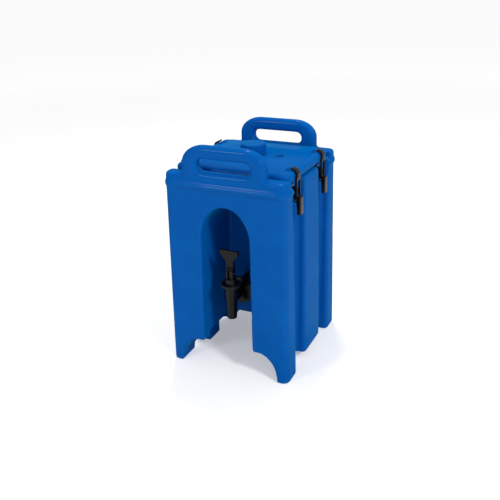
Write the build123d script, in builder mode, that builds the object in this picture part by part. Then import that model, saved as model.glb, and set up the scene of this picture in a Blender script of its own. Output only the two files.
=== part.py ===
from build123d import *
from math import cos, radians, sin, tan
import os

os.makedirs("parts", exist_ok=True)

# Insulated beverage dispenser: a one-piece double-wall body with two carry handles, a lift-off
# lid held by four draw latches, and a lever faucet in an arched recess at the front.
# Millimetres. Origin at the centre of the footprint on the ground, +Z up, front face towards -Y.

# ---- driving dimensions -------------------------------------------------------------------
BASE_WIDTH = 259.0
BASE_DEPTH = 286.0
DRAFT = 1.07                # mould draft of all outer walls, degrees
TOTAL_HEIGHT = 461.0
SHOULDER_Z = 406.0          # top of the front and rear blocks
RIM_Z = 393.0               # seat of the lid
RIM_HALF_DEPTH = 108.0      # the shoulders begin here
WALL = 4.0                  # moulded skin

# side grooves and blocks, measured along Y at the ground
BLOCK_INNER_Y = 90.5
MIDDLE_HALF = 46.0
GROOVE_DEPTH = 22.0
MIDDLE_BOTTOM_Z = 17.0
CORNER_R = 13.0
BLOCK_EDGE_R = 9.0
TOP_EDGE_R = 5.0

# bead around the front and rear blocks
BEAD_Z = 384.0
BEAD_HEIGHT = 15.0
BEAD_OUT = 5.0
LIP_OUT = 2.2               # the shoulders stand out above the bead

# front recess, foot arches and the open space under the tank
RECESS_HALF_LOW = 54.0
RECESS_HALF_HIGH = 50.5
RECESS_SPRING_Z = 284.0
RECESS_CROWN_Z = 347.0
RECESS_BACK_Y = -18.0
FOOT_ARCH_CENTRE_X = 64.0
FOOT_ARCH_HALF = 42.0
FOOT_ARCH_Z = 57.0
TUNNEL_Z = 69.0
TUNNEL_MIDDLE_HALF = 96.0   # half widths of the open space under the middle and the grooves
TUNNEL_GROOVE_HALF = 76.0
TUNNEL_END = 30.0           # it stops this far from the front and rear faces
TUNNEL_SHOULDER = 18.0      # and the wide part this far inside the middle block
TUNNEL_R = 6.0
FOOT_PAD_DEPTH = 14.0       # the arches reach this far past the grooves

# tank
TANK_WALL = 22.0
TANK_FRONT_Y = RECESS_BACK_Y + TANK_WALL
TANK_BACK_Y = 112.0
TANK_HALF = 80.0
TANK_FLOOR_Z = TUNNEL_Z + TANK_WALL
TANK_R = 8.0
MOUTH_R = 16.0
MOUTH_HALF_X = 86.0
MOUTH_HALF_Y = 90.0
MOUTH_FLOOR_Z = 373.0

# handles
HANDLE_HALF = 85.0
HANDLE_DEPTH = 22.0
SLOT_HALF = 53.5
SLOT_BOTTOM_Z = 412.0
SLOT_TOP_Z = 435.5
HANDLE_CORNER_RUN = 46.0    # the handle's upper corners are quarter ellipses
HANDLE_CORNER_RISE = 34.0
HANDLE_EDGE_R = 8.0
HANDLE_ROOT = 14.0          # depth that the handle reaches into the shoulder

# lid
LID_HALF_X = 117.0
LID_HALF_Y = 106.0
LID_BOTTOM_Z = 397.0
LID_TOP_Z = 414.0
LID_CROWN = 4.0
LID_EDGE_R = 8.0
LID_PLUG_DEPTH = 11.0
LID_PLUG_GAP = 3.0
LID_SKIN = 3.5
LID_CORNER_R = 14.0
PANEL_INSET = 12.0          # the crown starts this far in from the lid's edge
PANEL_SLOPE = 40.0          # and rises over this distance
GASKET_WIDTH = 7.0
DIMPLE_X = 54.0
DIMPLE_R = 10.5
DIMPLE_FLOOR_R = 6.5
DIMPLE_DEPTH = 12.0
POCKET_X = (97.0, 108.5)    # finger pocket in the lid behind each hook
POCKET_HALF = 13.0
POCKET_DEPTH = 4.5
VENT_HOLE_R = 5.0
VENT_BOSS_R = 15.0
VENT_BOSS_TOP_Z = 431.0
VENT_CAP_R = 25.0
VENT_CAP_TOP_Z = 439.0
VENT_CAP_WALL = 4.0
VENT_CAP_EDGE_R = 3.0
VENT_COLLAR = 3.0           # wall of the collar inside the cap and its gap above the lid
VENT_SEAL = 2.0

# draw latches: one in each side groove
LATCH_Y = 68.5
LATCH_SEAT_X = 100.0
LATCH_SEAT_Z = (338.0, 396.0)
LATCH_BASE_THICK = 4.0
LATCH_BASE_HALF = 12.5
LATCH_BASE_Z = (352.0, 388.0)
LEVER_PIVOT = (112.0, 374.0)     # X and Z of the lever's pin in the base
HOOK_PIVOT = (118.0, 360.0)      # X and Z of the hook's pin in the lever
LEVER_TIP_Z = 331.0
LEVER_FACE_X = 127.5            # outer face of the lever's grip
LEVER_HALF = 7.2
LEVER_THICK = 8.0
LEVER_WALL = 2.5
LEVER_HUB_HALF = 2.6
LEVER_HUB_R = 4.8
HOOK_HUB_R = 4.3
EAR_INNER = 2.8
EAR_OUTER = 5.4
EAR_R = 7.5
HOOK_EYE_R = 4.2
HOOK_LEG_INNER = 7.6
HOOK_LEG_OUTER = 9.6
HOOK_NOSE_HALF = 7.0
HOOK_NOSE_Z = 402.0             # the hook is narrower from here up
HOOK_THICK = 4.0
HOOK_GAP = 0.4                  # between the hook and the lid's rounded edge
HOOK_WRAP = 68.0                # degrees of the lid's edge that the hook covers
HOOK_LIP = 5.0
HOOK_BRIDGE_Z = 396.0
PIN_R = 2.0
PIN_CLEARANCE = 0.05
PIN_END = 0.7                   # the pins stand out this far at each end
RIVET_R = 2.0
RIVET_HEAD_R = 3.0
RIVET_HEAD = 2.0
RIVET_GRIP = 2.6                # how far a rivet reaches into the body's skin
RIVET_PLACES = ((-9.2, 8.0), (9.2, 8.0), (0.0, -17.0))  # Y and Z from the lever's pin

# faucet
FAUCET_Y = -117.0
SPOUT_TIP_Z = 112.0
SPOUT_TIP_R = 9.5
VALVE_R = 13.5
VALVE_TOP_Z = 183.0
SEAT_Z = 138.0
CHAMBER_R = 10.5
OUTLET_R = 6.0
SHANK_Z = 154.0
SHANK_R = 12.0
THREAD_R = 11.0
THREAD_END_Y = 25.0
FLANGE_R = 18.0
FLANGE_THICK = 6.0
WASHER_R = 16.5
WASHER_THICK = 3.0
GUARD_R = 28.0              # round drip guard on the shank
GUARD_Y = -78.0
GUARD_THICK = 8.0
BOSS_R = 18.0
BONNET_R = 20.0
BONNET_RIM_THICK = 4.5
BONNET_HUB_R = 11.5
BONNET_TOP_Z = 198.0
BONNET_SKIRT = 6.0          # length of the bonnet inside the valve chamber
KNURL_COUNT = 24
KNURL_R = 1.4
STEM_R = 4.0
STEM_HEAD_HALF = 2.8
FAUCET_PIN_Z = 209.0
FAUCET_PIN_R = 1.5
FORK_HALF = 7.5
FORK_DEPTH_HALF = 7.0
FORK_SLOT_HALF = 3.1
FORK_SLOT = (196.0, 216.5)  # bottom and top of the slot for the stem
FORK_GAP = 0.3              # between the lever's cam and the bonnet
TAB_TOP_Z = 258.0
TAB_HALF = 19.0
TAB_LEAN = 1.0
NUT_FLATS = 36.0
NUT_THICK = 10.0

PORT_R = 6.0                # foam fill ports
PORT_PLACES = ((-45.0, 75.0), (45.0, 75.0))
LID_PORT = (0.0, 55.0)
PLUG_HEAD = 1.5
PLUG_RIM = 3.0

SLIP = 0.2                  # gap left between pieces that only lie together


def half_width(z):
    """Half the body's width at a height, with the mould draft."""
    return BASE_WIDTH / 2 - z * tan(radians(DRAFT))


def half_depth(z):
    """Half the body's depth at a height, with the mould draft."""
    return BASE_DEPTH / 2 - z * tan(radians(DRAFT))


def finish(part, name):
    """Label a finished piece and write it to its own file."""
    part.label = name
    export_step(part, f"parts/{name}.step")


# ---- body: shapes shared by the skin and the foam ------------------------------------------
def body_mass(inset, bottom, top):
    """Grooved and tapered outer block, shrunk on every side by inset."""
    block_length = BASE_DEPTH / 2 - BLOCK_INNER_Y
    block_y = (BASE_DEPTH / 2 + BLOCK_INNER_Y) / 2
    with BuildPart() as mass:
        with BuildSketch(Plane.XY.offset(bottom)) as outline:
            start = bottom * tan(radians(DRAFT))
            shrink = 2 * (inset + start)
            Rectangle(BASE_WIDTH - 2 * GROOVE_DEPTH - shrink, BASE_DEPTH - shrink)
            with Locations((0, block_y), (0, -block_y)):
                Rectangle(BASE_WIDTH - shrink, block_length - shrink)
            Rectangle(BASE_WIDTH - shrink, 2 * MIDDLE_HALF - shrink)
            corners = outline.vertices().group_by(Axis.Y)
            inner = [v for group in corners[1:-1] for v in group]
            fillet(inner, BLOCK_EDGE_R)
            ends = outline.vertices().group_by(Axis.Y)
            fillet(ends[0] + ends[-1], CORNER_R - inset)
        extrude(amount=top - bottom, taper=DRAFT)
    return mass.part


def rounded_mass(top):
    """The full outer block up to a height, with its top edge rounded."""
    with BuildPart() as block:
        add(body_mass(0, 0, top))
        fillet(block.faces().sort_by(Axis.Z)[-1].edges(), TOP_EDGE_R)
    return block.part


def front_opening(grow, depth):
    """Arched recess in the front, from the feet up to its crown."""
    low = RECESS_HALF_LOW + grow
    high = RECESS_HALF_HIGH + grow
    start_y = -BASE_DEPTH / 2 - 2
    with BuildPart() as opening:
        with BuildSketch(Plane.XZ.offset(-start_y)):
            with BuildLine():
                left = Line((-low, -5), (-high, RECESS_SPRING_Z))
                rise = RECESS_CROWN_Z + grow - RECESS_SPRING_Z
                EllipticalCenterArc((0, RECESS_SPRING_Z), high, rise, 0, arc_size=180)
                right = Line((high, RECESS_SPRING_Z), (low, -5))
                Line(right @ 1, left @ 0)
            make_face()
        extrude(amount=-(depth - start_y))
        back_edges = opening.faces().sort_by(Axis.Y)[-1].edges()
        fillet(back_edges, 5 + grow)
    return opening.part


def foot_arches(grow):
    """Low wide arch between the feet, cut right through from front to back."""
    half = FOOT_ARCH_HALF + grow
    height = FOOT_ARCH_Z + grow
    with BuildPart() as arches:
        with BuildSketch(Plane.XZ.offset(-BASE_DEPTH)):
            with Locations((FOOT_ARCH_CENTRE_X, 0), (-FOOT_ARCH_CENTRE_X, 0)):
                Ellipse(half, height)
            with Locations((0, height / 2)):
                Rectangle(2 * FOOT_ARCH_CENTRE_X, height)
        extrude(amount=2 * BASE_DEPTH)
    return arches.part


def tunnel(grow):
    """Space under the tank: it follows the grooves and opens between the feet."""
    inner_y = BLOCK_INNER_Y - FOOT_PAD_DEPTH - grow
    length = BASE_DEPTH - 2 * TUNNEL_END + 2 * grow
    with BuildPart() as space:
        with BuildSketch(Plane.XY.offset(-1)) as plan:
            Rectangle(2 * (TUNNEL_GROOVE_HALF + grow), length)
            Rectangle(2 * (TUNNEL_MIDDLE_HALF + grow), 2 * (MIDDLE_HALF - TUNNEL_SHOULDER + grow))
            fillet(plan.vertices(), TUNNEL_R)
        extrude(amount=TUNNEL_Z + 1 + grow)
        fillet(space.faces().sort_by(Axis.Z)[-1].edges(), TUNNEL_R)
        arches = foot_arches(grow)
        middle = Box(2 * BASE_WIDTH, 2 * inner_y, 2 * SHOULDER_Z, mode=Mode.PRIVATE)
        add(arches - middle)
    return space.part


def tank(grow):
    """Tank behind the recess, with a wide mouth under the lid."""
    deep_y = (TANK_FRONT_Y + TANK_BACK_Y) / 2
    deep_length = TANK_BACK_Y - TANK_FRONT_Y + 2 * grow
    with BuildPart() as hollow:
        with BuildSketch(Plane.XY.offset(TANK_FLOOR_Z - grow)) as plan:
            with Locations((0, deep_y)):
                Rectangle(2 * (TANK_HALF + grow), deep_length)
            fillet(plan.vertices(), TANK_R)
        extrude(amount=MOUTH_FLOOR_Z - TANK_FLOOR_Z + 2 * grow)
        fillet(hollow.faces().sort_by(Axis.Z)[0].edges(), TANK_R)
        with BuildSketch(Plane.XY.offset(MOUTH_FLOOR_Z - grow)) as mouth:
            Rectangle(2 * (MOUTH_HALF_X + grow), 2 * (MOUTH_HALF_Y + grow))
            fillet(mouth.vertices(), MOUTH_R + grow)
        extrude(amount=RIM_Z - MOUTH_FLOOR_Z + grow + 1)
    return hollow.part


def handle(side, inset):
    """Carry handle standing on a shoulder; side is -1 at the front and +1 at the rear."""
    outer_y = half_depth(SHOULDER_Z) + LIP_OUT - inset
    foot_z = SHOULDER_Z - HANDLE_ROOT
    half = HANDLE_HALF - inset
    run = HANDLE_CORNER_RUN - inset
    rise = HANDLE_CORNER_RISE - inset
    spring_z = TOTAL_HEIGHT - HANDLE_CORNER_RISE
    slot_height = SLOT_TOP_Z - SLOT_BOTTOM_Z + 2 * inset
    with BuildPart() as arch:
        with BuildSketch(Plane.XZ.offset(-side * outer_y)):
            with Locations((0, (foot_z + spring_z) / 2)):
                Rectangle(2 * half, spring_z - foot_z)
            for flank in (-1, 1):
                with Locations((flank * (half - run), spring_z)):
                    Ellipse(run, rise)
            with Locations((0, spring_z + rise / 2)):
                Rectangle(2 * (half - run), rise)
            with Locations((0, (SLOT_BOTTOM_Z + SLOT_TOP_Z) / 2)):
                RectangleRounded(
                    2 * (SLOT_HALF + inset), slot_height, slot_height / 2 - 1, mode=Mode.SUBTRACT
                )
        extrude(amount=side * (HANDLE_DEPTH - 2 * inset))
        rims = arch.faces().filter_by(Axis.Y)
        outline = [e for e in rims.edges() if e.center().Z > foot_z + 2]
        fillet(outline, max(HANDLE_EDGE_R - inset, 3))
    return arch.part


def bead(side):
    """Rounded bead around the front or rear block, ending at the groove."""
    width = 2 * (half_width(BEAD_Z) + BEAD_OUT)
    outer_y = half_depth(BEAD_Z) + BEAD_OUT
    inner_y = BLOCK_INNER_Y + BLOCK_EDGE_R + 2
    with BuildPart() as ring:
        with BuildSketch(Plane.XY.offset(BEAD_Z - BEAD_HEIGHT / 2)) as plan:
            with Locations((0, side * (outer_y + inner_y) / 2)):
                Rectangle(width, outer_y - inner_y)
            corners = plan.vertices().sort_by(Axis.Y)
            outer = corners[:2] if side < 0 else corners[-2:]
            fillet(outer, CORNER_R + BEAD_OUT)
        extrude(amount=BEAD_HEIGHT)
        fillet(ring.faces().filter_by(Axis.Z).edges(), BEAD_HEIGHT / 2 - 0.6)
    return ring.part


def shoulder_lip(side):
    """Slightly wider cap of the front or rear block above the bead."""
    width = 2 * (half_width(SHOULDER_Z) + LIP_OUT)
    outer_y = half_depth(SHOULDER_Z) + LIP_OUT
    with BuildPart() as lip:
        with BuildSketch(Plane.XY.offset(BEAD_Z)) as plan:
            with Locations((0, side * (outer_y + RIM_HALF_DEPTH) / 2)):
                Rectangle(width, outer_y - RIM_HALF_DEPTH)
            corners = plan.vertices().sort_by(Axis.Y)
            outer = corners[:2] if side < 0 else corners[-2:]
            fillet(outer, CORNER_R + LIP_OUT)
        extrude(amount=SHOULDER_Z - BEAD_Z)
        fillet(lip.faces().sort_by(Axis.Z)[-1].edges(), TOP_EDGE_R)
    return lip.part


def shank_cylinder(radius, start_y, end_y, x=0.0):
    """Cylinder along Y on the faucet shank's axis."""
    with BuildPart() as rod:
        with BuildSketch(Plane.XZ.offset(-start_y)):
            with Locations((x, SHANK_Z)):
                Circle(radius)
        extrude(amount=-(end_y - start_y))
    return rod.part


def latch_places():
    """Side (+1 right, -1 left) and Y of each latch, with its name."""
    return (
        ("right_front", 1, -LATCH_Y),
        ("right_rear", 1, LATCH_Y),
        ("left_front", -1, -LATCH_Y),
        ("left_rear", -1, LATCH_Y),
    )


def side_rod(radius, side, x_low, x_high, y, z):
    """Cylinder along X between two distances from the middle plane."""
    with BuildPart() as rod:
        with BuildSketch(Plane.YZ.offset(side * x_low)):
            with Locations((y, z)):
                Circle(radius)
        extrude(amount=side * (x_high - x_low))
    return rod.part


# ---- body ----------------------------------------------------------------------------------
def foam_shape(skin):
    """Space between the outer skin and the tank liner, also inside the handles and feet."""
    with BuildPart() as core:
        add(body_mass(skin, skin, SHOULDER_Z - skin))
        for side in (-1, 1):
            add(handle(side, skin + 1))
        with Locations((0, 0, RIM_Z - skin + SHOULDER_Z / 2)):
            Box(2 * BASE_WIDTH, 2 * (RIM_HALF_DEPTH + skin), SHOULDER_Z, mode=Mode.SUBTRACT)
        Box(
            2 * BASE_WIDTH,
            2 * (BLOCK_INNER_Y + skin),
            2 * (MIDDLE_BOTTOM_Z + skin),
            mode=Mode.SUBTRACT,
        )
        add(front_opening(skin, RECESS_BACK_Y + skin), mode=Mode.SUBTRACT)
        add(tunnel(skin), mode=Mode.SUBTRACT)
        add(tank(skin), mode=Mode.SUBTRACT)
        boss_r = BOSS_R + skin - WALL
        add(shank_cylinder(boss_r, RECESS_BACK_Y, TANK_FRONT_Y), mode=Mode.SUBTRACT)
    return core.part


with BuildPart() as body_shell:
    add(rounded_mass(SHOULDER_Z))
    with Locations((0, 0, SHOULDER_Z)):
        Box(2 * BASE_WIDTH, 2 * RIM_HALF_DEPTH, 4 * SHOULDER_Z, mode=Mode.SUBTRACT)
    add(rounded_mass(RIM_Z))
    for side in (-1, 1):
        add(bead(side))
        add(shoulder_lip(side))
        add(handle(side, 0))
    Box(2 * BASE_WIDTH, 2 * BLOCK_INNER_Y, 2 * MIDDLE_BOTTOM_Z, mode=Mode.SUBTRACT)
    add(front_opening(0, RECESS_BACK_Y), mode=Mode.SUBTRACT)
    add(tunnel(0), mode=Mode.SUBTRACT)
    add(tank(0), mode=Mode.SUBTRACT)
    for name, side, y in latch_places():
        with Locations((side * (LATCH_SEAT_X + GROOVE_DEPTH), y, sum(LATCH_SEAT_Z) / 2)):
            Box(
                2 * GROOVE_DEPTH,
                2 * LATCH_BASE_HALF + 6,
                LATCH_SEAT_Z[1] - LATCH_SEAT_Z[0],
                mode=Mode.SUBTRACT,
            )
        for offset_y, offset_z in RIVET_PLACES:
            hole = side_rod(
                RIVET_R + PIN_CLEARANCE,
                side,
                LATCH_SEAT_X - RIVET_GRIP,
                LATCH_SEAT_X + 1,
                y + offset_y,
                LEVER_PIVOT[1] + offset_z,
            )
            add(hole, mode=Mode.SUBTRACT)
    add(foam_shape(WALL), mode=Mode.SUBTRACT)
    thread_hole = shank_cylinder(THREAD_R + PIN_CLEARANCE, RECESS_BACK_Y - 1, TANK_FRONT_Y + 1)
    add(thread_hole, mode=Mode.SUBTRACT)
    with BuildSketch(Plane.XY.offset(TUNNEL_Z - 1)):
        with Locations(*PORT_PLACES):
            Circle(PORT_R)
    extrude(amount=WALL + 2, mode=Mode.SUBTRACT)
finish(body_shell.part, "body_shell")

with BuildPart() as body_foam:
    add(foam_shape(WALL + SLIP))
finish(body_foam.part, "body_foam")

with BuildPart() as foam_plugs:
    with BuildSketch(Plane.XY.offset(TUNNEL_Z - PLUG_HEAD)):
        with Locations(*PORT_PLACES):
            Circle(PORT_R + PLUG_RIM)
    extrude(amount=PLUG_HEAD)
    with BuildSketch(Plane.XY.offset(TUNNEL_Z)):
        with Locations(*PORT_PLACES):
            Circle(PORT_R - PIN_CLEARANCE)
    extrude(amount=WALL - SLIP)
finish(foam_plugs.part, "foam_plugs")


# ---- lid -----------------------------------------------------------------------------------
def lid_mass(inset):
    """Lid flange, shallow crown and the plug that drops into the mouth, shrunk by inset."""
    half_x = LID_HALF_X - inset
    half_y = LID_HALF_Y - inset
    with BuildPart() as mass:
        with BuildSketch(Plane.XY.offset(LID_BOTTOM_Z + inset)):
            RectangleRounded(2 * half_x, 2 * half_y, LID_CORNER_R - inset)
        extrude(amount=LID_TOP_Z - LID_BOTTOM_Z - 2 * inset)
        fillet(mass.faces().sort_by(Axis.Z)[-1].edges(), LID_EDGE_R - inset)
        with BuildSketch(Plane.XY.offset(LID_TOP_Z - inset)):
            RectangleRounded(2 * (half_x - PANEL_INSET), 2 * (half_y - PANEL_INSET), 20)
        with BuildSketch(Plane.XY.offset(LID_TOP_Z + LID_CROWN - inset)):
            inner = PANEL_INSET + PANEL_SLOPE
            RectangleRounded(2 * (half_x - inner), 2 * (half_y - inner), 12)
        loft()
        plug_x = MOUTH_HALF_X - LID_PLUG_GAP - inset
        plug_y = MOUTH_HALF_Y - LID_PLUG_GAP - inset
        with BuildSketch(Plane.XY.offset(LID_BOTTOM_Z - LID_PLUG_DEPTH + inset)):
            RectangleRounded(2 * plug_x, 2 * plug_y, LID_CORNER_R - inset)
        extrude(amount=LID_PLUG_DEPTH + inset)
    return mass.part


def lid_fittings(skin):
    """Vent tube, kiss-off dimples and finger pockets, thickened by skin."""
    top = LID_TOP_Z + LID_CROWN
    with BuildPart() as fittings:
        with BuildSketch(Plane.XY.offset(LID_BOTTOM_Z - LID_PLUG_DEPTH)):
            Circle(VENT_HOLE_R + skin)
        extrude(amount=LID_PLUG_DEPTH + top - LID_BOTTOM_Z)
        for side in (-1, 1):
            with Locations((side * DIMPLE_X, 0, top - DIMPLE_DEPTH / 2)):
                Cone(DIMPLE_FLOOR_R + skin, DIMPLE_R + skin, DIMPLE_DEPTH + 2 * skin)
        for name, side, y in latch_places():
            with Locations((side * sum(POCKET_X) / 2, y, LID_TOP_Z)):
                Box(
                    POCKET_X[1] - POCKET_X[0] + 2 * skin,
                    2 * (POCKET_HALF + skin),
                    2 * (POCKET_DEPTH + skin),
                )
    return fittings.part


with BuildPart() as lid_shell:
    add(lid_mass(0))
    with BuildSketch(Plane.XY.offset(LID_TOP_Z)):
        Circle(VENT_BOSS_R)
    extrude(amount=VENT_BOSS_TOP_Z - LID_TOP_Z)
    for side in (-1, 1):
        with Locations((side * DIMPLE_X, 0, LID_TOP_Z + LID_CROWN - DIMPLE_DEPTH / 2)):
            Cone(DIMPLE_FLOOR_R, DIMPLE_R, DIMPLE_DEPTH, mode=Mode.SUBTRACT)
    for name, side, y in latch_places():
        with Locations((side * sum(POCKET_X) / 2, y, LID_TOP_Z)):
            Box(
                POCKET_X[1] - POCKET_X[0], 2 * POCKET_HALF, 2 * POCKET_DEPTH, mode=Mode.SUBTRACT
            )
    add(lid_mass(LID_SKIN) - lid_fittings(LID_SKIN), mode=Mode.SUBTRACT)
    with BuildSketch(Plane.XY.offset(LID_BOTTOM_Z - LID_PLUG_DEPTH)):
        Circle(VENT_HOLE_R)
    extrude(amount=2 * LID_TOP_Z, mode=Mode.SUBTRACT)
    with BuildSketch(Plane.XY.offset(LID_BOTTOM_Z - LID_PLUG_DEPTH)):
        with Locations(LID_PORT):
            Circle(PORT_R)
    extrude(amount=LID_SKIN + SLIP, mode=Mode.SUBTRACT)
finish(lid_shell.part, "lid_shell")

with BuildPart() as lid_foam:
    add(lid_mass(LID_SKIN + SLIP) - lid_fittings(LID_SKIN + SLIP))
finish(lid_foam.part, "lid_foam")

with BuildPart() as lid_foam_plug:
    with BuildSketch(Plane.XY.offset(LID_BOTTOM_Z - LID_PLUG_DEPTH - PLUG_HEAD)):
        with Locations(LID_PORT):
            Circle(PORT_R + PLUG_RIM)
    extrude(amount=PLUG_HEAD)
    with BuildSketch(Plane.XY.offset(LID_BOTTOM_Z - LID_PLUG_DEPTH)):
        with Locations(LID_PORT):
            Circle(PORT_R - PIN_CLEARANCE)
    extrude(amount=LID_SKIN)
finish(lid_foam_plug.part, "lid_foam_plug")

with BuildPart() as lid_gasket:
    with BuildSketch(Plane.XY.offset(RIM_Z + PIN_CLEARANCE)):
        outer_x = MOUTH_HALF_X + 1 + GASKET_WIDTH
        outer_y = MOUTH_HALF_Y + 1 + GASKET_WIDTH
        RectangleRounded(2 * outer_x, 2 * outer_y, LID_CORNER_R + GASKET_WIDTH)
        RectangleRounded(
            2 * (MOUTH_HALF_X + 1), 2 * (MOUTH_HALF_Y + 1), LID_CORNER_R, mode=Mode.SUBTRACT
        )
    extrude(amount=LID_BOTTOM_Z - RIM_Z - PIN_CLEARANCE)
    fillet(lid_gasket.faces().sort_by(Axis.Z)[0].edges(), 1.5)
finish(lid_gasket.part, "lid_gasket")

with BuildPart() as vent_cap:
    cap_bottom = LID_TOP_Z + LID_CROWN + SLIP
    cap_ceiling = VENT_BOSS_TOP_Z + VENT_SEAL + PIN_CLEARANCE
    with BuildSketch(Plane.XY.offset(cap_bottom)):
        Circle(VENT_CAP_R)
    extrude(amount=VENT_CAP_TOP_Z - cap_bottom)
    fillet(vent_cap.faces().sort_by(Axis.Z)[-1].edges(), VENT_CAP_EDGE_R)
    with BuildSketch(Plane.XY.offset(cap_bottom)):
        Circle(VENT_CAP_R - VENT_CAP_WALL)
    extrude(amount=cap_ceiling - cap_bottom, mode=Mode.SUBTRACT)
    with BuildSketch(Plane.XY.offset(cap_bottom + VENT_COLLAR)):
        Circle(VENT_BOSS_R + PIN_CLEARANCE + VENT_COLLAR)
        Circle(VENT_BOSS_R + PIN_CLEARANCE, mode=Mode.SUBTRACT)
    extrude(amount=cap_ceiling - cap_bottom)
finish(vent_cap.part, "vent_cap")

with BuildPart() as vent_seal:
    with BuildSketch(Plane.XY.offset(VENT_BOSS_TOP_Z + PIN_CLEARANCE)):
        Circle(VENT_BOSS_R - 1)
    extrude(amount=VENT_SEAL)
finish(vent_seal.part, "vent_seal")


# ---- draw latches --------------------------------------------------------------------------
def cross_extrude(profile, half_low, half_high, y):
    """Extrude an X-Z profile to both sides of y, from half_low to half_high away from it."""
    with BuildPart() as solid:
        for direction in (-1, 1):
            start = y + direction * half_low
            with BuildSketch(Plane.XZ.offset(-start)):
                add(profile)
            extrude(amount=-direction * (half_high - half_low))
    return solid.part


def ear_profile(side):
    """Ear of the base around the lever's pin."""
    x, z = LEVER_PIVOT
    seat = LATCH_SEAT_X + LATCH_BASE_THICK - 1
    with BuildSketch() as profile:
        with Locations((side * x, z)):
            Circle(EAR_R)
        with Locations((side * (x + seat) / 2, z)):
            Rectangle(x - seat, 2 * EAR_R)
        with Locations((side * x, z)):
            Circle(PIN_R + PIN_CLEARANCE, mode=Mode.SUBTRACT)
    return profile.sketch


def latch_base(side, y):
    """Riveted plate with two ears for the lever's pin."""
    height = LATCH_BASE_Z[1] - LATCH_BASE_Z[0]
    with BuildPart() as base:
        with BuildSketch(Plane.YZ.offset(side * LATCH_SEAT_X)):
            with Locations((y, sum(LATCH_BASE_Z) / 2)):
                RectangleRounded(2 * LATCH_BASE_HALF, height, 4)
        extrude(amount=side * LATCH_BASE_THICK)
        add(cross_extrude(ear_profile(side), EAR_INNER, EAR_OUTER, y))
        for offset_y, offset_z in RIVET_PLACES:
            hole = side_rod(
                RIVET_R + PIN_CLEARANCE,
                side,
                LATCH_SEAT_X - 1,
                LATCH_SEAT_X + LATCH_BASE_THICK + 1,
                y + offset_y,
                LEVER_PIVOT[1] + offset_z,
            )
            add(hole, mode=Mode.SUBTRACT)
    return base.part


def lever_web_profile(side):
    """Web of the lever from its own pin to the hook's pin."""
    pivot, hook_end = [(side * x, z) for x, z in (LEVER_PIVOT, HOOK_PIVOT)]
    with BuildSketch() as profile:
        hub_circle = Edge.make_circle(LEVER_HUB_R, Plane(pivot))
        make_hull([hub_circle, Edge.make_circle(HOOK_HUB_R, Plane(hook_end))])
        with Locations(pivot, hook_end):
            Circle(PIN_R + PIN_CLEARANCE, mode=Mode.SUBTRACT)
    return profile.sketch


def lever_grip_profile(side, wall):
    """Grip below the hook's pin; wall leaves its outer wall only, 0 keeps its full depth."""
    hub_x, hub_z = HOOK_PIVOT
    inner_x = LEVER_FACE_X - (wall or LEVER_THICK)
    top_z = hub_z + HOOK_HUB_R
    with BuildSketch() as profile:
        Polygon(
            (side * inner_x, top_z),
            (side * (LEVER_FACE_X - 1.5), top_z),
            (side * LEVER_FACE_X, hub_z),
            (side * (LEVER_FACE_X + 0.5), LEVER_TIP_Z),
            (side * (inner_x + 1.5), LEVER_TIP_Z),
            (side * inner_x, hub_z - 2 * HOOK_HUB_R),
            align=None,
        )
        if not wall:
            with Locations((side * hub_x, hub_z)):
                Circle(HOOK_HUB_R)
                Circle(PIN_R + PIN_CLEARANCE, mode=Mode.SUBTRACT)
    return profile.sketch


def lever_bridge_profile(side):
    """Solid bar across the grip, which joins the web to both flanges and the outer wall."""
    hub_x, hub_z = HOOK_PIVOT
    with BuildSketch() as profile:
        with Locations(((side * (hub_x + LEVER_FACE_X) / 2), hub_z)):
            Rectangle(LEVER_FACE_X - hub_x, 2 * HOOK_HUB_R)
        with Locations((side * hub_x, hub_z)):
            Circle(HOOK_HUB_R)
            Circle(PIN_R + PIN_CLEARANCE, mode=Mode.SUBTRACT)
    return profile.sketch


def latch_lever(side, y):
    """Over-centre lever, a channel open towards the body, hanging down when closed."""
    with BuildPart() as lever:
        add(cross_extrude(lever_web_profile(side), 0, LEVER_HUB_HALF, y))
        add(cross_extrude(lever_grip_profile(side, 0), LEVER_HALF - LEVER_WALL, LEVER_HALF, y))
        add(cross_extrude(lever_grip_profile(side, LEVER_WALL), 0, LEVER_HALF, y))
        add(cross_extrude(lever_bridge_profile(side), 0, LEVER_HALF, y))
    return lever.part


def hook_profile(side):
    """Strap and nose of the hook; the nose wraps the lid's rounded edge."""
    centre_x = LID_HALF_X - LID_EDGE_R
    centre_z = LID_TOP_Z - LID_EDGE_R
    inner_r = LID_EDGE_R + HOOK_GAP
    outer_r = inner_r + HOOK_THICK
    low_z = HOOK_PIVOT[1]

    def polar(radius, degrees, along=0.0):
        x = centre_x + radius * cos(radians(degrees)) - along * sin(radians(degrees))
        z = centre_z + radius * sin(radians(degrees)) + along * cos(radians(degrees))
        return (side * x, z)

    outer_foot = (side * (centre_x + outer_r), low_z)
    inner_foot = (side * (centre_x + inner_r), low_z)
    half_wrap = HOOK_WRAP / 2
    with BuildSketch() as profile:
        with BuildLine():
            Line(inner_foot, outer_foot)
            Line(outer_foot, polar(outer_r, 0))
            ThreePointArc(
                polar(outer_r, 0), polar(outer_r, half_wrap), polar(outer_r, HOOK_WRAP)
            )
            Polyline(
                polar(outer_r, HOOK_WRAP),
                polar(outer_r, HOOK_WRAP, HOOK_LIP),
                polar(inner_r + 1, HOOK_WRAP, HOOK_LIP),
                polar(inner_r, HOOK_WRAP),
            )
            ThreePointArc(
                polar(inner_r, HOOK_WRAP), polar(inner_r, half_wrap), polar(inner_r, 0)
            )
            Line(polar(inner_r, 0), inner_foot)
        make_face()
    return profile.sketch


def hook_eye(side):
    """Round eye at the foot of each leg of the hook."""
    with BuildSketch() as profile:
        with Locations((side * HOOK_PIVOT[0], HOOK_PIVOT[1])):
            Circle(HOOK_EYE_R)
    return profile.sketch


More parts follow.
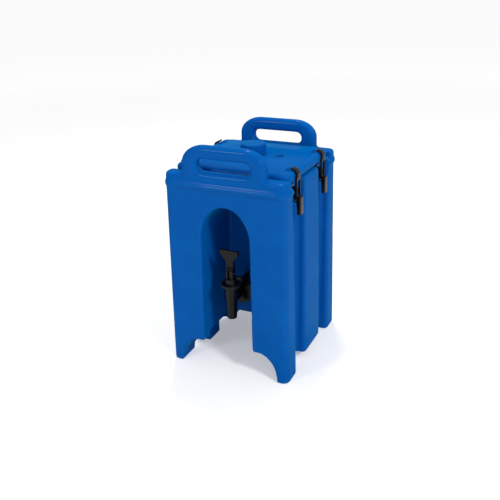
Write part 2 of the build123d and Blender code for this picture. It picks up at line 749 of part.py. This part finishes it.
def latch_hook(side, y):
    """Bail with two legs on the lever and a nose over the lid's edge."""
    with BuildPart() as hook:
        add(cross_extrude(hook_profile(side), 0, HOOK_LEG_OUTER, y))
        window = 2 * (HOOK_BRIDGE_Z - HOOK_PIVOT[1])
        with Locations((side * LID_HALF_X, y, HOOK_PIVOT[1])):
            Box(window, 2 * HOOK_LEG_INNER, window, mode=Mode.SUBTRACT)
        for flank in (-1, 1):
            with Locations((side * LID_HALF_X, y + flank * (HOOK_NOSE_HALF + 10), HOOK_NOSE_Z + 15)):
                Box(window, 20, 30, mode=Mode.SUBTRACT)
        add(cross_extrude(hook_eye(side), HOOK_LEG_INNER, HOOK_LEG_OUTER, y))
        add(
            cross_rod(PIN_R + PIN_CLEARANCE, HOOK_PIVOT, side, y, HOOK_LEG_OUTER + 1),
            mode=Mode.SUBTRACT,
        )
    return hook.part


def cross_rod(radius, pivot, side, y, half):
    """Cylinder along Y on one of the latch's pivots."""
    with BuildPart() as rod:
        with BuildSketch(Plane.XZ.offset(half - y)):
            with Locations((side * pivot[0], pivot[1])):
                Circle(radius)
        extrude(amount=-2 * half)
    return rod.part


for name, side, y in latch_places():
    finish(latch_base(side, y), f"latch_base_{name}")
    finish(latch_lever(side, y), f"latch_lever_{name}")
    finish(latch_hook(side, y), f"latch_hook_{name}")
    finish(cross_rod(PIN_R, LEVER_PIVOT, side, y, EAR_OUTER + PIN_END), f"lever_pin_{name}")
    finish(cross_rod(PIN_R, HOOK_PIVOT, side, y, HOOK_LEG_OUTER + PIN_END), f"hook_pin_{name}")

with BuildPart() as latch_rivets:
    for name, side, y in latch_places():
        head_x = LATCH_SEAT_X + LATCH_BASE_THICK
        for offset_y, offset_z in RIVET_PLACES:
            place = (y + offset_y, LEVER_PIVOT[1] + offset_z)
            add(side_rod(RIVET_R, side, LATCH_SEAT_X - RIVET_GRIP + SLIP, head_x, *place))
            add(side_rod(RIVET_HEAD_R, side, head_x, head_x + RIVET_HEAD, *place))
finish(latch_rivets.part, "latch_rivets")


# ---- faucet --------------------------------------------------------------------------------
FLANGE_Y = RECESS_BACK_Y - WASHER_THICK - FLANGE_THICK
FAUCET_AXIS = Axis((0, FAUCET_Y, 0), (0, 0, 1))
FAUCET_PLANE = Plane.XZ.offset(-FAUCET_Y)


def faucet_bore(radius, bottom, top):
    """Cylinder on the faucet's upright axis."""
    with BuildPart() as bore:
        with BuildSketch(Plane.XY.offset(bottom)):
            with Locations((0, FAUCET_Y)):
                Circle(radius)
        extrude(amount=top - bottom)
    return bore.part


def faucet_pin(radius, half):
    """Cylinder along X on the faucet lever's pivot."""
    with BuildPart() as pin:
        with BuildSketch(Plane.YZ.offset(-half)):
            with Locations((FAUCET_Y, FAUCET_PIN_Z)):
                Circle(radius)
        extrude(amount=2 * half)
    return pin.part


with BuildPart() as faucet_body:
    with BuildSketch(FAUCET_PLANE):
        Polygon(
            (0, SPOUT_TIP_Z),
            (SPOUT_TIP_R, SPOUT_TIP_Z),
            (SPOUT_TIP_R + 0.5, SPOUT_TIP_Z + 4),
            (VALVE_R, VALVE_TOP_Z - 6),
            (VALVE_R + 2, VALVE_TOP_Z - 4),
            (VALVE_R + 2, VALVE_TOP_Z),
            (0, VALVE_TOP_Z),
            align=None,
        )
    revolve(axis=FAUCET_AXIS)
    add(shank_cylinder(SHANK_R, FAUCET_Y, FLANGE_Y + 1))
    add(shank_cylinder(FLANGE_R, FLANGE_Y, FLANGE_Y + FLANGE_THICK))
    add(shank_cylinder(GUARD_R, GUARD_Y, GUARD_Y + GUARD_THICK))
    add(shank_cylinder(THREAD_R, FLANGE_Y, THREAD_END_Y))
    add(faucet_bore(OUTLET_R, SPOUT_TIP_Z, SEAT_Z), mode=Mode.SUBTRACT)
    add(faucet_bore(CHAMBER_R, SEAT_Z, VALVE_TOP_Z), mode=Mode.SUBTRACT)
    add(shank_cylinder(OUTLET_R, FAUCET_Y, THREAD_END_Y), mode=Mode.SUBTRACT)
finish(faucet_body.part, "faucet_body")

for name, start_y, radius in (
    ("faucet_outer_washer", RECESS_BACK_Y - WASHER_THICK, WASHER_R),
    ("faucet_inner_washer", TANK_FRONT_Y, WASHER_R),
):
    ring = shank_cylinder(radius, start_y, start_y + WASHER_THICK)
    bore = shank_cylinder(THREAD_R + PIN_CLEARANCE, start_y, start_y + WASHER_THICK)
    finish(ring - bore, name)

with BuildPart() as faucet_nut:
    with BuildSketch(Plane.XZ.offset(-TANK_FRONT_Y - WASHER_THICK)):
        with Locations((0, SHANK_Z)):
            RegularPolygon(NUT_FLATS / 2, 6, major_radius=False)
            Circle(THREAD_R + PIN_CLEARANCE, mode=Mode.SUBTRACT)
    extrude(amount=-NUT_THICK)
finish(faucet_nut.part, "faucet_nut")

with BuildPart() as faucet_bonnet:
    with BuildSketch(Plane.XY.offset(VALVE_TOP_Z)):
        with Locations((0, FAUCET_Y)):
            Circle(BONNET_R)
            with PolarLocations(BONNET_R + KNURL_R / 2, KNURL_COUNT):
                Circle(KNURL_R, mode=Mode.SUBTRACT)
    extrude(amount=BONNET_RIM_THICK)
    add(faucet_bore(BONNET_HUB_R, VALVE_TOP_Z, BONNET_TOP_Z))
    fillet(faucet_bonnet.faces().sort_by(Axis.Z)[-1].edges(), 1)
    add(faucet_bore(CHAMBER_R - PIN_CLEARANCE, VALVE_TOP_Z - BONNET_SKIRT, VALVE_TOP_Z))
    stem_hole = faucet_bore(STEM_R + PIN_CLEARANCE, SEAT_Z, BONNET_TOP_Z + 1)
    add(stem_hole, mode=Mode.SUBTRACT)
finish(faucet_bonnet.part, "faucet_bonnet")

STEM_BOTTOM_Z = SEAT_Z + 3
with BuildPart() as faucet_stem:
    add(faucet_bore(STEM_R, STEM_BOTTOM_Z, FAUCET_PIN_Z + 5))
    head_bottom = BONNET_TOP_Z - 4
    for side in (-1, 1):
        with Locations((side * (STEM_HEAD_HALF + STEM_R), FAUCET_Y, head_bottom + 20)):
            Box(2 * STEM_R, 4 * STEM_R, 40, mode=Mode.SUBTRACT)
    add(faucet_pin(FAUCET_PIN_R + PIN_CLEARANCE, STEM_R), mode=Mode.SUBTRACT)
finish(faucet_stem.part, "faucet_stem")

with BuildPart() as seat_cup:
    with BuildSketch(FAUCET_PLANE):
        Polygon(
            (0, SEAT_Z + SLIP),
            (CHAMBER_R - 2, SEAT_Z + SLIP),
            (CHAMBER_R - 1.5, SEAT_Z + 4),
            (STEM_R + 2, SEAT_Z + 12),
            (STEM_R, SEAT_Z + 12),
            (STEM_R, STEM_BOTTOM_Z),
            (0, STEM_BOTTOM_Z),
            align=None,
        )
    revolve(axis=FAUCET_AXIS)
finish(seat_cup.part, "faucet_seat_cup")

with BuildPart() as faucet_lever:
    cam_z = BONNET_TOP_Z + FORK_GAP
    with BuildSketch(FAUCET_PLANE.offset(-FORK_DEPTH_HALF)):
        with BuildLine():
            left_side = Polyline(
                (-FORK_HALF, cam_z),
                (-FORK_HALF, FAUCET_PIN_Z + 8),
                (-FORK_HALF - 1, TAB_TOP_Z - 22),
                (-TAB_HALF, TAB_TOP_Z - 9),
                (-TAB_HALF, TAB_TOP_Z),
                (0, TAB_TOP_Z),
            )
            mirror(left_side, Plane.YZ)
            Line((-FORK_HALF, cam_z), (FORK_HALF, cam_z))
        make_face()
    extrude(amount=2 * FORK_DEPTH_HALF)
    with BuildSketch(Plane.YZ.offset(-2 * TAB_HALF)):
        with BuildLine():
            Polyline(
                (FAUCET_Y - FORK_DEPTH_HALF, cam_z),
                (FAUCET_Y - FORK_DEPTH_HALF, FAUCET_PIN_Z + 6),
                (FAUCET_Y - 4 - TAB_LEAN / 3, FAUCET_PIN_Z + 16),
                (FAUCET_Y - 4 - TAB_LEAN, TAB_TOP_Z - 12),
                (FAUCET_Y - 5 - TAB_LEAN, TAB_TOP_Z),
                (FAUCET_Y + 1 - TAB_LEAN, TAB_TOP_Z),
                (FAUCET_Y + 3 - TAB_LEAN, TAB_TOP_Z - 12),
                (FAUCET_Y + 4 - TAB_LEAN / 3, FAUCET_PIN_Z + 16),
                (FAUCET_Y + FORK_DEPTH_HALF, FAUCET_PIN_Z + 6),
                (FAUCET_Y + FORK_DEPTH_HALF, cam_z),
                close=True,
            )
        make_face()
    extrude(amount=4 * TAB_HALF, mode=Mode.INTERSECT)
    with Locations((0, FAUCET_Y, sum(FORK_SLOT) / 2)):
        Box(
            2 * FORK_SLOT_HALF,
            3 * FORK_DEPTH_HALF,
            FORK_SLOT[1] - FORK_SLOT[0],
            mode=Mode.SUBTRACT,
        )
    add(faucet_pin(FAUCET_PIN_R + PIN_CLEARANCE, 2 * FORK_HALF), mode=Mode.SUBTRACT)
finish(faucet_lever.part, "faucet_lever")

finish(faucet_pin(FAUCET_PIN_R, FORK_HALF + PIN_END), "faucet_pin")
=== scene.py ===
from math import cos, radians, sin

import bmesh
import bpy
from mathutils import Matrix, Vector


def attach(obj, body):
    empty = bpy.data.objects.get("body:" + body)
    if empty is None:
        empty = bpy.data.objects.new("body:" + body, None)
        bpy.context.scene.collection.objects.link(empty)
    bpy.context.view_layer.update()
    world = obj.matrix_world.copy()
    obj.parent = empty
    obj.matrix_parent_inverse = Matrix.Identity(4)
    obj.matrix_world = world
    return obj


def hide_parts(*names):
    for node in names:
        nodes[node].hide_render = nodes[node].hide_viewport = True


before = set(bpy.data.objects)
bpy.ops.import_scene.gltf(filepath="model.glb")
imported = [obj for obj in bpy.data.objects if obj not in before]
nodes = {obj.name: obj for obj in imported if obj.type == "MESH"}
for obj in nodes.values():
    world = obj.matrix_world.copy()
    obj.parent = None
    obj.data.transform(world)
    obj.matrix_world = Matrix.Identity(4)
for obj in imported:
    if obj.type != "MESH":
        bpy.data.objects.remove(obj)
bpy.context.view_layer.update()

# An insulated beverage dispenser: soft rotomoulded body and lid, black nylon latches and faucet.
# Metres, origin at the centre of the footprint, +Z up, the faucet faces -Y.

LATCHES = ("right_front", "right_rear", "left_front", "left_rear")

# Remeshed pieces: the voxel in metres, how many rounds of smoothing relax the edges, and how far
# each round goes.
BODY_VOXEL, BODY_SMOOTHING = 0.0019, 22
LID_VOXEL, LID_SMOOTHING = 0.0013, 7
CAP_VOXEL, CAP_SMOOTHING = 0.0008, 3
LEVER_VOXEL, LEVER_SMOOTHING = 0.0005, 8
SMOOTHING_FACTOR = 0.5

# Bevelled pieces: the width of the rounding, and which angles count as flat, bevelled or sharp.
BASE_ROUNDING = 0.0006
HARDWARE_ROUNDING = 0.0008
BONNET_ROUNDING = 0.0005
ROUNDING_SEGMENTS = 3
FLAT_ANGLE = radians(0.5)
BEVEL_ANGLE = radians(32)
SHARP_ANGLE = radians(34)
MERGE_DISTANCE = 1e-6

# Studio: the floor and the sky look brighter to the camera than the light they throw on the
# object. The floor's added glow grows from its near to its far strength between two distances.
FLOOR_HALF = 20.0
FLOOR_DROP = 0.0004
GLOW_NEAR, GLOW_FAR = 0.34, 0.58
FADE_START, FADE_END = 0.5, 4.0
SKY_LIGHT, SKY_SEEN = 0.42, 0.97
WHITE = (1.0, 1.0, 1.0)
LAMPS = {
    # name: position, target, diameter, power
    "key": ((1.75, -1.0, 1.8), (0.0, 0.0, 0.25), 0.45, 30.0),
    "front_fill": ((-0.9, -2.0, 0.9), (0.0, 0.0, 0.2), 0.4, 9.0),
    "top": ((-0.3, 0.6, 2.2), (0.0, 0.0, 0.3), 0.4, 18.0),
}

# Camera: where it stands around the object, and its lens in millimetres.
AZIMUTH = radians(25.5)
ELEVATION = radians(23.39)
ROLL = radians(-1.44)
DISTANCE = 1.3545
AIM = Vector((-0.01294, 0.0, 0.20864))
LENS = 46.5
SENSOR_WIDTH = 36.0


# ---- material helpers ----------------------------------------------------------------------
class Shader:
    """A small builder for node materials."""

    def __init__(self, name):
        self.material = bpy.data.materials.new(name)
        self.material.use_nodes = True
        self.tree = self.material.node_tree
        self.principled = self.tree.nodes["Principled BSDF"]
        self.position = self.tree.nodes.new("ShaderNodeTexCoord").outputs["Object"]

    def link(self, source, target):
        self.tree.links.new(source, target)

    def noise(self, scale, detail, roughness, stretch=None):
        """Cloudy noise; stretch scales it along each axis."""
        node = self.tree.nodes.new("ShaderNodeTexNoise")
        node.inputs["Scale"].default_value = scale
        node.inputs["Detail"].default_value = detail
        node.inputs["Roughness"].default_value = roughness
        source = self.position
        if stretch:
            mapping = self.tree.nodes.new("ShaderNodeMapping")
            mapping.inputs["Scale"].default_value = stretch
            self.link(source, mapping.inputs["Vector"])
            source = mapping.outputs["Vector"]
        self.link(source, node.inputs["Vector"])
        return node.outputs["Fac"]

    def cells(self, scale):
        """Distance from the middle of each cell."""
        node = self.tree.nodes.new("ShaderNodeTexVoronoi")
        node.inputs["Scale"].default_value = scale
        self.link(self.position, node.inputs["Vector"])
        return node.outputs["Distance"]

    def ramp(self, source, low, high, start=0.0, end=1.0):
        """Map source from start..end to low..high, clamped."""
        node = self.tree.nodes.new("ShaderNodeMapRange")
        node.inputs["From Min"].default_value = start
        node.inputs["From Max"].default_value = end
        node.inputs["To Min"].default_value = low
        node.inputs["To Max"].default_value = high
        self.link(source, node.inputs["Value"])
        return node.outputs["Result"]

    def mix(self, factor, first, second):
        """Colour mix; first and second are colours or sockets."""
        node = self.tree.nodes.new("ShaderNodeMix")
        node.data_type = "RGBA"
        self.link(factor, node.inputs["Factor"])
        for socket, value in (("A", first), ("B", second)):
            target = [i for i in node.inputs if i.name == socket and i.type == "RGBA"][0]
            if isinstance(value, tuple):
                target.default_value = (*value, 1.0)
            else:
                self.link(value, target)
        return [o for o in node.outputs if o.type == "RGBA"][0]

    def math(self, operation, first, second):
        """first is a socket, second a socket or a number."""
        node = self.tree.nodes.new("ShaderNodeMath")
        node.operation = operation
        self.link(first, node.inputs[0])
        if isinstance(second, float):
            node.inputs[1].default_value = second
        else:
            self.link(second, node.inputs[1])
        return node.outputs["Value"]

    def edges(self, start, end):
        """1 on sharp outer edges and 0 on flat faces, by the mesh's pointiness."""
        geometry = self.tree.nodes.new("ShaderNodeNewGeometry")
        return self.ramp(geometry.outputs["Pointiness"], 0.0, 1.0, start, end)

    def length(self):
        """Distance from the origin."""
        node = self.tree.nodes.new("ShaderNodeVectorMath")
        node.operation = "LENGTH"
        self.link(self.position, node.inputs[0])
        return node.outputs["Value"]

    def camera_only(self, value):
        """value for rays that come straight from the camera, 0 for all others."""
        path = self.tree.nodes.new("ShaderNodeLightPath")
        return self.math("MULTIPLY", path.outputs["Is Camera Ray"], value)

    def bump(self, *layers):
        """Stack of (height socket, distance in metres, strength)."""
        previous = None
        for height, distance, strength in layers:
            node = self.tree.nodes.new("ShaderNodeBump")
            node.inputs["Distance"].default_value = distance
            node.inputs["Strength"].default_value = strength
            self.link(height, node.inputs["Height"])
            if previous:
                self.link(previous, node.inputs["Normal"])
            previous = node.outputs["Normal"]
        self.link(previous, self.principled.inputs["Normal"])

    def set(self, **values):
        """Set inputs of the Principled node to numbers, colours or sockets."""
        for name, value in values.items():
            socket = self.principled.inputs[name.replace("_", " ")]
            if isinstance(value, float):
                socket.default_value = value
            elif isinstance(value, tuple):
                socket.default_value = (*value, 1.0)
            else:
                self.link(value, socket)


def blue_plastic():
    """Rotomoulded polyethylene: fine orange peel, faint mottling, and outer edges painted
    lighter, partly as wear and partly as a painted highlight.
    """
    deep, bright = (0.0003, 0.087, 0.37), (0.0005, 0.102, 0.42)
    # The lighter edge colour on the next line is partly wear and partly a painted highlight
    # along the edges.
    speck, scuff_and_edge_highlight = (0.001, 0.122, 0.47), (0.02, 0.2, 0.52)
    shader = Shader("blue_polyethylene")
    mottle = shader.noise(14.0, 4.0, 0.55)
    grain = shader.noise(900.0, 2.0, 0.6)
    peel = shader.noise(260.0, 2.0, 0.5)
    wave = shader.noise(22.0, 2.0, 0.4)
    colour = shader.mix(shader.ramp(mottle, 0.0, 1.0, 0.3, 0.7), deep, bright)
    colour = shader.mix(shader.ramp(grain, 0.0, 0.16, 0.45, 0.75), colour, speck)
    patchy = shader.ramp(mottle, 0.05, 0.25, 0.35, 0.65)
    # Sharp outer edges turn lighter here: partly wear, partly a painted highlight along the
    # rounded edges.
    edge_tint = shader.math("MULTIPLY", shader.edges(0.505, 0.58), patchy)
    colour = shader.mix(edge_tint, colour, scuff_and_edge_highlight)
    broad = shader.ramp(mottle, 0.36, 0.48, 0.3, 0.7)
    rough = shader.math("ADD", broad, shader.ramp(grain, 0.0, 0.06))
    shader.set(Base_Color=colour, Roughness=rough)
    shader.set(Specular_IOR_Level=0.0, Coat_Weight=0.1, Coat_Roughness=0.13)
    shader.set(Sheen_Weight=0.3, Sheen_Roughness=0.3, Sheen_Tint=(0.0, 0.85, 1.0))
    shader.bump((wave, 0.0011, 0.25), (peel, 0.00022, 0.35), (grain, 0.00008, 0.5))
    return shader.material


def black_plastic(name, gloss):
    """Moulded black nylon with a fine grain and dusty edges."""
    deep, faded, dusty = (0.002, 0.002, 0.0024), (0.005, 0.005, 0.006), (0.03, 0.03, 0.033)
    shader = Shader(name)
    grain = shader.noise(1400.0, 2.0, 0.6)
    smear = shader.noise(60.0, 4.0, 0.6)
    edge_tint = shader.math("MULTIPLY", shader.edges(0.52, 0.62), 0.35)
    colour = shader.mix(shader.ramp(smear, 0.0, 1.0, 0.35, 0.7), deep, faded)
    colour = shader.mix(edge_tint, colour, dusty)
    shader.set(Base_Color=colour, Specular_IOR_Level=0.22)
    shader.set(Roughness=shader.ramp(smear, gloss, gloss + 0.14, 0.3, 0.7))
    shader.bump((smear, 0.0003, 0.15), (grain, 0.00006, 0.5))
    return shader.material


def metal(name, colour, roughness, stretch):
    """Drawn or turned metal with fine lines along the axis where stretch is smallest."""
    shader = Shader(name)
    lines = shader.noise(900.0, 3.0, 0.6, stretch)
    stain = shader.noise(120.0, 3.0, 0.6)
    stained = tuple(0.7 * channel for channel in colour)
    shader.set(Base_Color=shader.mix(shader.ramp(stain, 0.0, 1.0, 0.35, 0.7), colour, stained))
    shader.set(Metallic=1.0, Roughness=shader.ramp(lines, roughness, roughness + 0.2, 0.3, 0.7))
    shader.bump((lines, 0.00004, 0.4))
    return shader.material


def silicone():
    """Soft off-white seal, a little dusty."""
    shader = Shader("silicone")
    dust = shader.noise(180.0, 4.0, 0.6)
    grain = shader.noise(1200.0, 2.0, 0.5)
    patches = shader.ramp(dust, 0.0, 1.0, 0.35, 0.7)
    shader.set(Base_Color=shader.mix(patches, (0.62, 0.62, 0.6), (0.5, 0.5, 0.48)))
    shader.set(Roughness=shader.ramp(dust, 0.5, 0.65), Subsurface_Weight=0.1)
    shader.bump((grain, 0.00005, 0.5))
    return shader.material


def foam():
    """Cream rigid foam with open cells."""
    shader = Shader("rigid_foam")
    cells = shader.cells(700.0)
    cloud = shader.noise(30.0, 3.0, 0.5)
    patches = shader.ramp(cloud, 0.0, 1.0, 0.3, 0.7)
    shader.set(Base_Color=shader.mix(patches, (0.75, 0.62, 0.33), (0.68, 0.52, 0.25)))
    shader.set(Roughness=0.9)
    shader.bump((cells, 0.0006, 0.8))
    return shader.material


def studio_paper():
    """Matt pale paper that fades to white, for the camera alone, away from the object."""
    shader = Shader("studio_paper")
    fibre = shader.noise(400.0, 4.0, 0.6)
    fibres = shader.ramp(fibre, 0.0, 1.0, 0.3, 0.7)
    shader.set(Base_Color=shader.mix(fibres, (0.9, 0.9, 0.9), (0.88, 0.88, 0.88)))
    shader.set(Roughness=0.9, Specular_IOR_Level=0.1)
    glow = shader.ramp(shader.length(), GLOW_NEAR, GLOW_FAR, FADE_START, FADE_END)
    shader.set(Emission_Color=WHITE, Emission_Strength=shader.camera_only(glow))
    shader.bump((fibre, 0.0001, 0.2))
    return shader.material


# ---- mesh helpers --------------------------------------------------------------------------
def paint(obj, material):
    """Give an object this one material."""
    obj.data.materials.clear()
    obj.data.materials.append(material)


def shade_smooth(mesh):
    """Mark every face as smooth."""
    mesh.polygons.foreach_set("use_smooth", [True] * len(mesh.polygons))
    mesh.update()


def add_object(name, data):
    """Put a new object with this data into the scene."""
    obj = bpy.data.objects.new(name, data)
    bpy.context.scene.collection.objects.link(obj)
    return obj


def copy_of(node, name):
    """A free copy of a CAD node's mesh, with doubled vertices merged."""
    mesh = nodes[node].data.copy()
    mesh.name = name
    work = bmesh.new()
    work.from_mesh(mesh)
    bmesh.ops.remove_doubles(work, verts=work.verts, dist=MERGE_DISTANCE)
    work.to_mesh(mesh)
    work.free()
    return add_object(name, mesh)


def merge_flat_faces(mesh):
    """Join the triangles of each flat face, so that a bevel finds the true edges alone."""
    work = bmesh.new()
    work.from_mesh(mesh)
    bmesh.ops.dissolve_limit(work, angle_limit=FLAT_ANGLE, verts=work.verts, edges=work.edges)
    work.to_mesh(mesh)
    work.free()


def apply_modifiers(obj):
    """Replace the mesh by its evaluated shape and drop the modifiers."""
    bpy.context.view_layer.update()
    evaluated = obj.evaluated_get(bpy.context.evaluated_depsgraph_get())
    mesh = bpy.data.meshes.new_from_object(evaluated)
    obj.modifiers.clear()
    old = obj.data
    obj.data = mesh
    mesh.name = obj.name
    bpy.data.meshes.remove(old)


def stand_in(obj, node, material, body):
    """Let a finished copy ride on its body, in place of its CAD node."""
    shade_smooth(obj.data)
    paint(obj, material)
    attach(obj, body)
    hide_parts(node)


def soft_moulding(node, name, voxel, rounds, material, body, slot):
    """A copy of a CAD node, remeshed and relaxed, so that every edge is rounded."""
    obj = copy_of(node, name)
    remesh = obj.modifiers.new("remesh", "REMESH")
    remesh.mode = "VOXEL"
    remesh.voxel_size = voxel
    relax = obj.modifiers.new("relax", "SMOOTH")
    relax.factor = SMOOTHING_FACTOR
    relax.iterations = rounds
    apply_modifiers(obj)
    stand_in(obj, node, material, body)


def rounded_hardware(node, width, material, body):
    """A copy of a small CAD node whose sharp edges get a real rounding."""
    obj = copy_of(node, node + "_moulded")
    merge_flat_faces(obj.data)
    bevel = obj.modifiers.new("bevel", "BEVEL")
    bevel.width = width
    bevel.segments = ROUNDING_SEGMENTS
    bevel.limit_method = "ANGLE"
    bevel.angle_limit = BEVEL_ANGLE
    apply_modifiers(obj)
    stand_in(obj, node, material, body)
    obj.data.set_sharp_from_angle(angle=SHARP_ANGLE)


# ---- the object ----------------------------------------------------------------------------
blue = blue_plastic()
latch_black = black_plastic("latch_nylon", 0.2)
faucet_black = black_plastic("faucet_nylon", 0.12)
steel = metal("pin_steel", (0.62, 0.62, 0.63), 0.24, (1.0, 0.05, 1.0))
rivet_metal = metal("rivet_aluminium", (0.68, 0.69, 0.7), 0.3, (0.1, 1.0, 1.0))
seal = silicone()
rigid_foam = foam()

MOULDINGS = (
    # node, name of the piece, voxel, rounds of smoothing, material, body, slot
    ("body_shell", "body_moulding", BODY_VOXEL, BODY_SMOOTHING, blue, "body", "body_plastic"),
    ("lid_shell", "lid_moulding", LID_VOXEL, LID_SMOOTHING, blue, "lid", "lid_plastic"),
    ("vent_cap", "vent_cap_moulding", CAP_VOXEL, CAP_SMOOTHING, blue, "vent_cap", "lid_plastic"),
)
for moulding in MOULDINGS:
    soft_moulding(*moulding)

for place in LATCHES:
    for part, width, body in (
        ("base", BASE_ROUNDING, "body"),
        ("lever", HARDWARE_ROUNDING, f"lever_{place}"),
        ("hook", HARDWARE_ROUNDING, f"hook_{place}"),
    ):
        rounded_hardware(f"latch_{part}_{place}", width, latch_black, body)
    paint(nodes[f"lever_pin_{place}"], steel)
    paint(nodes[f"hook_pin_{place}"], steel)

rounded_hardware("faucet_body", HARDWARE_ROUNDING, faucet_black, "body")
rounded_hardware("faucet_bonnet", BONNET_ROUNDING, faucet_black, "body")
soft_moulding(
    "faucet_lever",
    "faucet_lever_moulded",
    LEVER_VOXEL,
    LEVER_SMOOTHING,
    faucet_black,
    "faucet_lever",
    "faucet_plastic",
)

# Nodes that keep their CAD shape and only get a material.
PLAIN = {
    "body_foam": rigid_foam,
    "lid_foam": rigid_foam,
    "foam_plugs": blue,
    "lid_foam_plug": blue,
    "lid_gasket": seal,
    "vent_seal": seal,
    "latch_rivets": rivet_metal,
    "faucet_outer_washer": seal,
    "faucet_inner_washer": seal,
    "faucet_seat_cup": seal,
    "faucet_nut": faucet_black,
    "faucet_stem": faucet_black,
    "faucet_pin": steel,
}
for node, material in PLAIN.items():
    paint(nodes[node], material)


# ---- studio --------------------------------------------------------------------------------
def add_floor():
    """One large square just under the feet."""
    signs = ((-1, -1), (1, -1), (1, 1), (-1, 1))
    corners = [(x * FLOOR_HALF, y * FLOOR_HALF, -FLOOR_DROP) for x, y in signs]
    mesh = bpy.data.meshes.new("floor")
    mesh.from_pydata(corners, [], [(0, 1, 2, 3)])
    mesh.materials.append(studio_paper())
    add_object("floor", mesh)


def add_lamp(name, position, target, diameter, power):
    """A white disk lamp that faces its target."""
    light = bpy.data.lights.new(name, "AREA")
    light.shape = "DISK"
    light.size = diameter
    light.energy = power
    lamp = add_object(name, light)
    lamp.location = position
    direction = Vector(target) - Vector(position)
    lamp.rotation_euler = direction.to_track_quat("-Z", "Y").to_euler()


def add_sky():
    """An even white surround that the camera sees brighter than it lights."""
    world = bpy.data.worlds.new("studio")
    world.use_nodes = True
    tree = world.node_tree
    background = tree.nodes["Background"]
    background.inputs["Color"].default_value = (*WHITE, 1.0)
    path = tree.nodes.new("ShaderNodeLightPath")
    strength = tree.nodes.new("ShaderNodeMapRange")
    strength.inputs["To Min"].default_value = SKY_LIGHT
    strength.inputs["To Max"].default_value = SKY_SEEN
    tree.links.new(path.outputs["Is Camera Ray"], strength.inputs["Value"])
    tree.links.new(strength.outputs["Result"], background.inputs["Strength"])
    bpy.context.scene.world = world


def add_camera():
    """A camera that looks at AIM from AZIMUTH and ELEVATION, rolled about its own axis."""
    right = Vector((cos(AZIMUTH), sin(AZIMUTH), 0.0))
    level = Vector((sin(AZIMUTH), -cos(AZIMUTH), 0.0))
    back = level * cos(ELEVATION) + Vector((0.0, 0.0, sin(ELEVATION)))
    up = back.cross(right)
    camera_x = right * cos(ROLL) + up * sin(ROLL)
    camera_y = up * cos(ROLL) - right * sin(ROLL)
    lens = bpy.data.cameras.new("camera")
    lens.lens = LENS
    lens.sensor_width = SENSOR_WIDTH
    camera = add_object("camera", lens)
    turn = Matrix((camera_x, camera_y, back)).transposed().to_4x4()
    camera.matrix_world = Matrix.Translation(AIM + back * DISTANCE) @ turn
    bpy.context.scene.camera = camera


add_floor()
for name, settings in LAMPS.items():
    add_lamp(name, *settings)
add_sky()
add_camera()
bpy.context.scene.view_settings.view_transform = "Standard"
bpy.context.scene.view_settings.look = "None"
